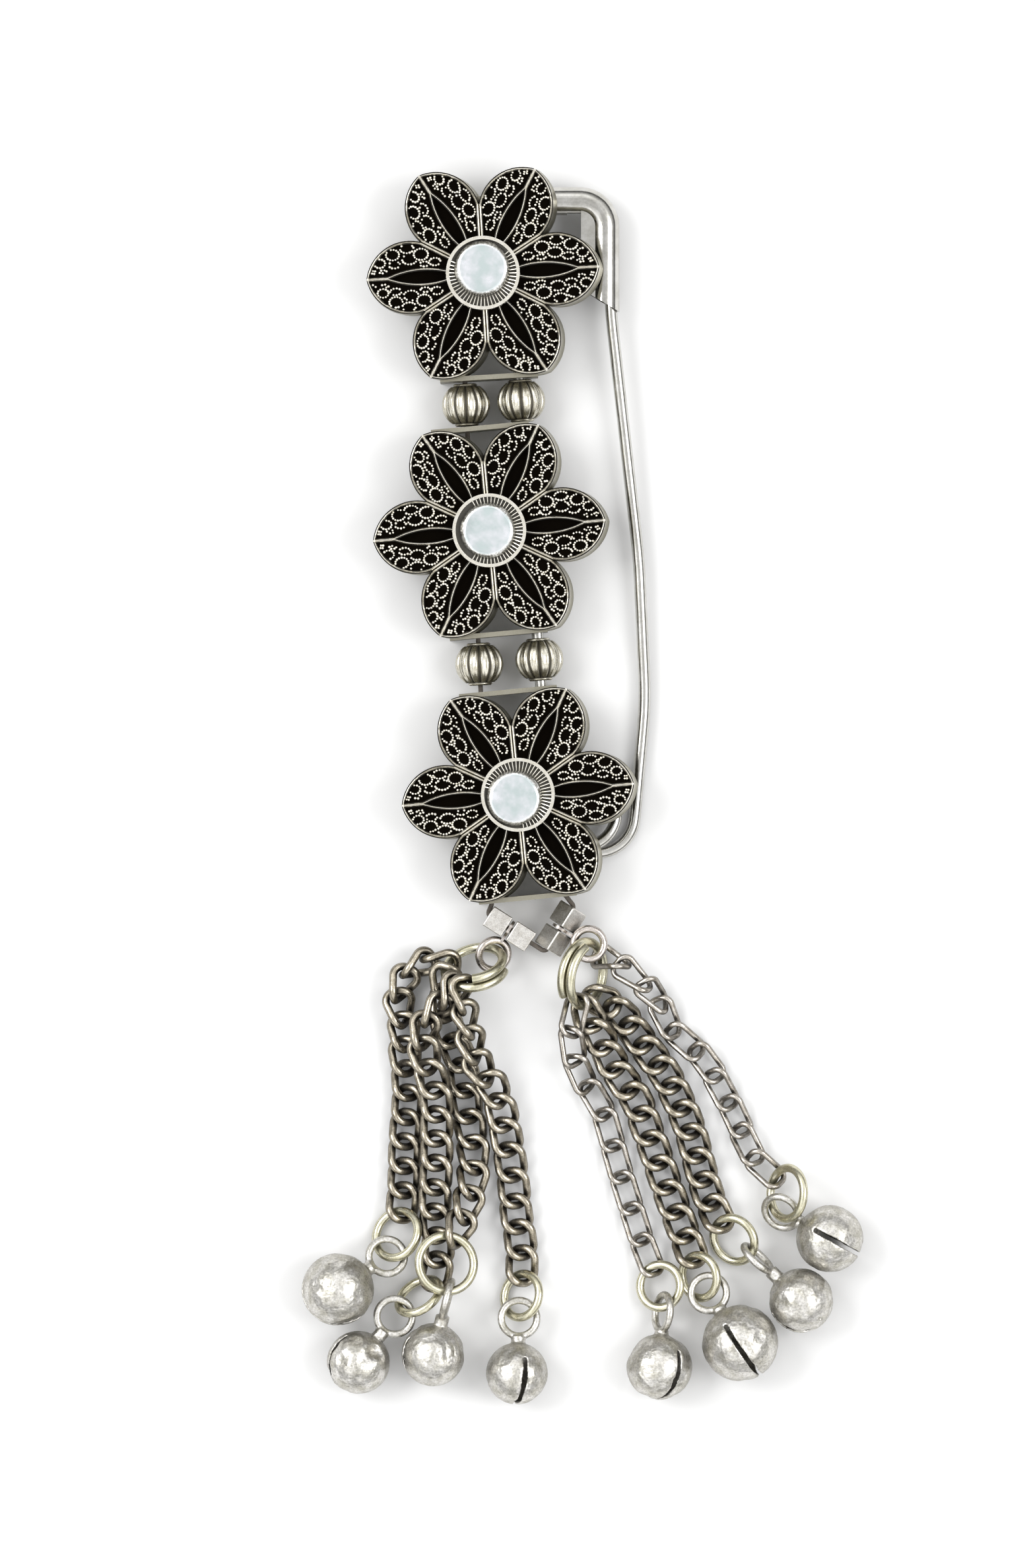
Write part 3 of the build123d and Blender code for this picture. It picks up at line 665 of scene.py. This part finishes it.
# Scratches run along one slanting direction, given by how a place is stretched and turned
SCRATCH_STRETCH = (1, 9, 3)
SCRATCH_TURN = (0.3, 0.5, 0.7)
DIRT_ROUGHNESS = 0.3
FINE_DENT_SHARE = 0.25
CREVICE_SAMPLES = 8
MIRROR_ROUGHNESS = (0.08, 0.3)
MIRROR_METALLIC = 0.9
FIBRE_ROUGHNESS = 0.9
PAPER_ROUGHNESS = 0.9
PAPER_GLOSS = 0.1


def new_material(name):
    material = bpy.data.materials.new(name)
    material.use_nodes = True
    tree = material.node_tree
    return material, tree, tree.nodes["Principled BSDF"]


def add_node(tree, kind, **values):
    node = tree.nodes.new(kind)
    for key, value in values.items():
        if key in node.inputs:
            node.inputs[key].default_value = value
        else:
            setattr(node, key, value)
    return node


def noise(tree, coordinates, scale, detail, rough):
    node = add_node(tree, "ShaderNodeTexNoise", Scale=scale, Detail=detail, Roughness=rough)
    tree.links.new(coordinates, node.inputs["Vector"])
    return node.outputs["Fac"]


def map_value(tree, value, low, high, out_low, out_high):
    node = add_node(tree, "ShaderNodeMapRange")
    node.clamp = True
    for key, number in (
        ("From Min", low), ("From Max", high), ("To Min", out_low), ("To Max", out_high)
    ):
        node.inputs[key].default_value = number
    tree.links.new(value, node.inputs["Value"])
    return node.outputs["Result"]


def maths(tree, operation, first, second):
    node = tree.nodes.new("ShaderNodeMath")
    node.operation = operation
    for socket, value in zip(node.inputs, (first, second)):
        if isinstance(value, (int, float)):
            socket.default_value = value
        else:
            tree.links.new(value, socket)
    return node.outputs[0]


def blend_colours(tree, factor, first, second):
    node = tree.nodes.new("ShaderNodeMix")
    node.data_type = "RGBA"
    tree.links.new(factor, node.inputs["Factor"])
    for socket, value in ((node.inputs[6], first), (node.inputs[7], second)):
        if isinstance(value, tuple):
            socket.default_value = (*value, 1)
        else:
            tree.links.new(value, socket)
    return node.outputs[2]


def worn_and_shaded_metal(name, dark, light, tint, grain=0.8, rough=(0.18, 0.4), bump=0.02,
               crevice=0.9, crevice_range=(0.35, 0.85), wear_layer=False, mottle=0.3,
               low_tint=None, top_light=(-0.5, 0.3, 0.6)):
    """Metal that is dark in its crevices, where the darkness is painted shade, and bright on its
    worn parts and, as painted light, on faces that point up.

    grain is the size of the mottling and bump the depth of the dents, in millimetres.
    low_tint is a colour for the lower part, with the heights between which it fades.
    top_light says how far over a surface has to face up before it gets the full painted light from
    above, and how much of that brightness is left where it doesn't; the darker sides and undersides
    are painted shade.
    """
    material, tree, shader = new_material(name)

    def grain_noise(coordinates, waves, detail, roughness):
        return noise(tree, coordinates, waves / (grain * MM), detail, roughness)

    place = tree.nodes.new("ShaderNodeTexCoord").outputs["Object"]
    broad = grain_noise(place, *BROAD_NOISE)
    fine = grain_noise(place, *FINE_NOISE)
    stretch = add_node(tree, "ShaderNodeMapping")
    stretch.inputs["Scale"].default_value = SCRATCH_STRETCH
    stretch.inputs["Rotation"].default_value = SCRATCH_TURN
    tree.links.new(place, stretch.inputs["Vector"])
    scratch = grain_noise(stretch.outputs[0], *SCRATCH_NOISE)
    # Ambient occlusion darkens the crevices: this darkening is painted shade.
    crevice_shade = add_node(tree, "ShaderNodeAmbientOcclusion", samples=CREVICE_SAMPLES)
    crevice_shade.inputs["Distance"].default_value = crevice * MM
    open_part = map_value(tree, crevice_shade.outputs["AO"], *crevice_range, 0, 1)
    if wear_layer:
        layer = add_node(tree, "ShaderNodeAttribute", attribute_name="wear")
        open_part = maths(tree, "MULTIPLY", open_part, layer.outputs["Fac"])
    spots = map_value(tree, fine, *SPOT_RANGE, 1 - mottle, 1)
    # Faces that point up are painted brighter, and the sides and undersides darker: painted light
    # from above.
    facing = tree.nodes.new("ShaderNodeSeparateXYZ")
    tree.links.new(tree.nodes.new("ShaderNodeNewGeometry").outputs["Normal"], facing.inputs[0])
    top_lit = map_value(tree, facing.outputs["Z"], *top_light, 1)
    # factor carries the painted crevice shade and the painted light from above, along with the wear
    # and the mottling.
    factor = maths(tree, "MULTIPLY", maths(tree, "MULTIPLY", open_part, spots), top_lit)
    bright = blend_colours(tree, map_value(tree, broad, *BROAD_RANGE, 0, 1), light, tint)
    if low_tint:
        height = tree.nodes.new("ShaderNodeSeparateXYZ")
        tree.links.new(place, height.inputs[0])
        tint_colour, low, high = low_tint
        lower = map_value(tree, height.outputs["Z"], low * MM, high * MM, 1, 0)
        bright = blend_colours(tree, lower, bright, tint_colour)
    colour = blend_colours(tree, factor, dark, bright)
    tree.links.new(colour, shader.inputs["Base Color"])
    patchy = map_value(tree, maths(tree, "ADD", fine, scratch), *PATCH_RANGE, *rough)
    dull = maths(tree, "SUBTRACT", 1, factor)
    roughness = maths(tree, "ADD", patchy, maths(tree, "MULTIPLY", dull, DIRT_ROUGHNESS))
    tree.links.new(roughness, shader.inputs["Roughness"])
    shader.inputs["Metallic"].default_value = 1.0
    small = maths(tree, "MULTIPLY", maths(tree, "ADD", fine, scratch), FINE_DENT_SHARE)
    dents = maths(tree, "ADD", broad, small)
    relief = add_node(tree, "ShaderNodeBump")
    relief.inputs["Strength"].default_value = 1.0
    relief.inputs["Distance"].default_value = bump * MM
    tree.links.new(dents, relief.inputs["Height"])
    tree.links.new(relief.outputs["Normal"], shader.inputs["Normal"])
    return material


def mirror_glass():
    """Silvered glass, a little cloudy, with worn silver at its edge."""
    material, tree, shader = new_material("mirror_glass")
    place = tree.nodes.new("ShaderNodeTexCoord").outputs["Object"]
    cloud = noise(tree, place, *CLOUD_NOISE)
    streak = noise(tree, place, *STREAK_NOISE)
    clouded = map_value(tree, cloud, *BROAD_RANGE, 0, 1)
    glass = blend_colours(tree, clouded, (0.74, 0.84, 0.84), (0.92, 0.94, 0.98))
    streaked = map_value(tree, streak, *STREAK_RANGE, 0, 1)
    edge = blend_colours(tree, streaked, (0.30, 0.29, 0.26), (0.90, 0.90, 0.88))
    layer = add_node(tree, "ShaderNodeAttribute", attribute_name="wear")
    colour = blend_colours(tree, layer.outputs["Fac"], glass, edge)
    tree.links.new(colour, shader.inputs["Base Color"])
    roughness = map_value(tree, cloud, *CLOUD_RANGE, *MIRROR_ROUGHNESS)
    tree.links.new(roughness, shader.inputs["Roughness"])
    shader.inputs["Metallic"].default_value = MIRROR_METALLIC
    return material


def thread_fibre():
    material, tree, shader = new_material("thread_fibre")
    place = tree.nodes.new("ShaderNodeTexCoord").outputs["Object"]
    fibre = noise(tree, place, *FIBRE_NOISE)
    colour = blend_colours(tree, fibre, (0.05, 0.045, 0.04), (0.22, 0.19, 0.16))
    tree.links.new(colour, shader.inputs["Base Color"])
    shader.inputs["Roughness"].default_value = FIBRE_ROUGHNESS
    return material


def dress(node, material):
    """Give a CAD node a new material."""
    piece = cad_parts[node]
    piece.data.materials.clear()
    piece.data.materials.append(material)
    return piece


# Floor, light and camera, in metres
FLOOR_SIZE = 3.0
FLOOR_GAP = 0.00002
LAMP_SIZE = 0.9
# Lamps: name, place, power
LAMPS = [
    ("left", (-1.0, 0.4, 1.2), 10.0),
    ("right", (1.0, 0.0, 1.2), 7.0),
]
# The sky from straight below to straight above: place on the way up, brightness
SKY_STOPS = [
    (0.0, 0.5), (0.5, 0.12), (0.6, 0.16), (0.72, 0.85), (0.85, 1.6), (0.94, 1.1), (1.0, 0.86)
]
SKY_PATCHES = (0.7, 1.1)


def make_floor():
    level = cad_box[0][2] - FLOOR_GAP
    bpy.ops.mesh.primitive_plane_add(size=FLOOR_SIZE, location=(0, 0, level))
    floor = bpy.context.object
    floor.name = "floor"
    material, tree, shader = new_material("floor_paper")
    place = tree.nodes.new("ShaderNodeTexCoord").outputs["Object"]
    pulp = noise(tree, place, *PAPER_NOISE)
    tone = blend_colours(tree, pulp, (0.86, 0.86, 0.86), (0.9, 0.9, 0.895))
    tree.links.new(tone, shader.inputs["Base Color"])
    shader.inputs["Roughness"].default_value = PAPER_ROUGHNESS
    shader.inputs["Specular IOR Level"].default_value = PAPER_GLOSS
    floor.data.materials.append(material)


def make_light():
    """A sky that is dark at the horizon and brightest halfway up, and a broad lamp each side."""
    world = bpy.data.worlds.new("studio")
    bpy.context.scene.world = world
    world.use_nodes = True
    tree = world.node_tree
    back = tree.nodes["Background"]
    where = tree.nodes.new("ShaderNodeTexCoord").outputs["Generated"]
    split = tree.nodes.new("ShaderNodeSeparateXYZ")
    tree.links.new(where, split.inputs[0])
    shade = tree.nodes.new("ShaderNodeValToRGB")
    stops = shade.color_ramp.elements
    for stop, (position, value) in ((stops[0], SKY_STOPS[0]), (stops[1], SKY_STOPS[-1])):
        stop.position = position
        stop.color = (value, value, value, 1)
    for position, value in SKY_STOPS[1:-1]:
        stop = stops.new(position)
        stop.color = (value, value, value, 1)
    height = map_value(tree, split.outputs["Z"], -1, 1, 0, 1)
    tree.links.new(height, shade.inputs[0])
    patches = map_value(tree, noise(tree, where, *SKY_NOISE), *BROAD_RANGE, *SKY_PATCHES)
    tree.links.new(shade.outputs[0], back.inputs["Color"])
    tree.links.new(patches, back.inputs["Strength"])
    for name, place, energy in LAMPS:
        lamp = bpy.data.lights.new(name, "AREA")
        lamp.shape = "DISK"
        lamp.size = LAMP_SIZE
        lamp.energy = energy
        holder = bpy.data.objects.new(name, lamp)
        holder.location = place
        holder.rotation_euler = (-holder.location).to_track_quat("-Z", "Y").to_euler()
        bpy.context.collection.objects.link(holder)


def make_camera():
    middle_x = (PHOTO_WIDTH / 2 - ORIGIN_PIXEL[0]) * MM_PER_PIXEL
    middle_y = (ORIGIN_PIXEL[1] - PHOTO_HEIGHT / 2) * MM_PER_PIXEL
    data = bpy.data.cameras.new("camera")
    data.sensor_fit = "VERTICAL"
    data.sensor_height = SENSOR_HEIGHT
    data.lens = data.sensor_height * (CAMERA_HEIGHT - LENS_PLANE) / (PHOTO_HEIGHT * MM_PER_PIXEL)
    data.clip_end = CLIP_END_METRES
    camera = bpy.data.objects.new("camera", data)
    camera.location = (middle_x * MM, middle_y * MM, CAMERA_HEIGHT * MM)
    bpy.context.collection.objects.link(camera)
    bpy.context.scene.camera = camera


make_camera()
make_floor()
make_light()
# The plain colour view keeps the pale floor pale
bpy.context.scene.view_settings.view_transform = "Standard"

nickel = worn_and_shaded_metal(
    "bright_nickel", (0.10, 0.095, 0.085), (0.66, 0.65, 0.62), (0.54, 0.53, 0.49),
    grain=1.5, rough=(0.08, 0.2), bump=0.006, crevice=1.2, crevice_range=(0.1, 0.6), mottle=0.12,
)
cast = worn_and_shaded_metal(
    "oxidised_cast", (0.004, 0.003, 0.002), (0.97, 0.94, 0.86), (0.86, 0.82, 0.71),
    grain=0.7, rough=(0.2, 0.38), bump=0.005, crevice=0.3, crevice_range=(0.0, 0.35),
    wear_layer=True, mottle=0.15, low_tint=((0.58, 0.55, 0.43), 5.3, 6.2),
    top_light=(0.0, 0.6, 0.7),
)
ribbed = worn_and_shaded_metal(
    "oxidised_ribs", (0.02, 0.016, 0.01), (0.88, 0.85, 0.74), (0.68, 0.64, 0.52),
    grain=0.6, rough=(0.13, 0.32), bump=0.015, crevice=0.5, crevice_range=(0.15, 0.7),
    wear_layer=True, mottle=0.3, top_light=(0.0, 0.5, 0.6),
)
cube_metal = worn_and_shaded_metal(
    "scratched_cube", (0.06, 0.055, 0.048), (0.92, 0.90, 0.86), (0.72, 0.69, 0.64),
    grain=0.6, rough=(0.2, 0.42), bump=0.02, crevice=0.6, crevice_range=(0.2, 0.75), mottle=0.35,
)
silver = worn_and_shaded_metal(
    "worn_silver", (0.10, 0.08, 0.07), (0.80, 0.74, 0.70), (0.56, 0.51, 0.46),
    grain=0.5, rough=(0.16, 0.32), bump=0.01, crevice=0.8, crevice_range=(0.3, 0.8), mottle=0.3,
    top_light=(-0.1, 0.7, 0.35),
)
pale_brass = worn_and_shaded_metal(
    "pale_brass", (0.20, 0.18, 0.10), (0.80, 0.77, 0.61), (0.66, 0.63, 0.45),
    grain=0.7, rough=(0.18, 0.34), bump=0.008, crevice=0.8, crevice_range=(0.25, 0.75), mottle=0.15,
    top_light=(-0.1, 0.7, 0.4),
)
curb_metal = worn_and_shaded_metal(
    "oxidised_curb", (0.012, 0.009, 0.007), (0.74, 0.67, 0.54), (0.44, 0.39, 0.30),
    grain=0.8, rough=(0.14, 0.3), bump=0.015, crevice=1.1, crevice_range=(0.4, 0.9), mottle=0.4,
    top_light=(0.1, 0.9, 0.1),
)
fine_metal = worn_and_shaded_metal(
    "oxidised_fine", (0.02, 0.018, 0.014), (0.78, 0.73, 0.66), (0.52, 0.47, 0.40),
    grain=0.8, rough=(0.14, 0.3), bump=0.015, crevice=1.0, crevice_range=(0.35, 0.85), mottle=0.35,
    top_light=(0.1, 0.9, 0.15),
)
bell_metal = worn_and_shaded_metal(
    "mottled_bell", (0.09, 0.08, 0.065), (0.94, 0.92, 0.88), (0.64, 0.62, 0.55),
    grain=1.1, rough=(0.18, 0.42), bump=0.06, crevice=0.6, crevice_range=(0.2, 0.7), mottle=0.5,
    top_light=(-0.1, 0.75, 0.45),
)

for row in FLOWERS:
    make_flower(*row).data.materials.append(cast)
for row in MELONS:
    make_melon(*row).data.materials.append(ribbed)
glass = mirror_glass()
for number, row in enumerate(FLOWERS, 1):
    make_mirror(number, row[1], row[2], row[4]).data.materials.append(glass)
for row in BELLS:
    beaten = make_bell(*row)
    beaten.data.materials.clear()
    beaten.data.materials.append(bell_metal)
thread = thread_fibre()
MATERIAL_OF = {
    "pin": nickel, "cube": cube_metal, "string": thread, "eye": silver,
    "jump": pale_brass, "drop": pale_brass, "chain": curb_metal,
}
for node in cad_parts:
    kind = node.split("_")[0]
    if kind in MATERIAL_OF:
        dress(node, MATERIAL_OF[kind])
for node in ("chain_r1", "chain_r4"):
    dress(node, fine_metal)
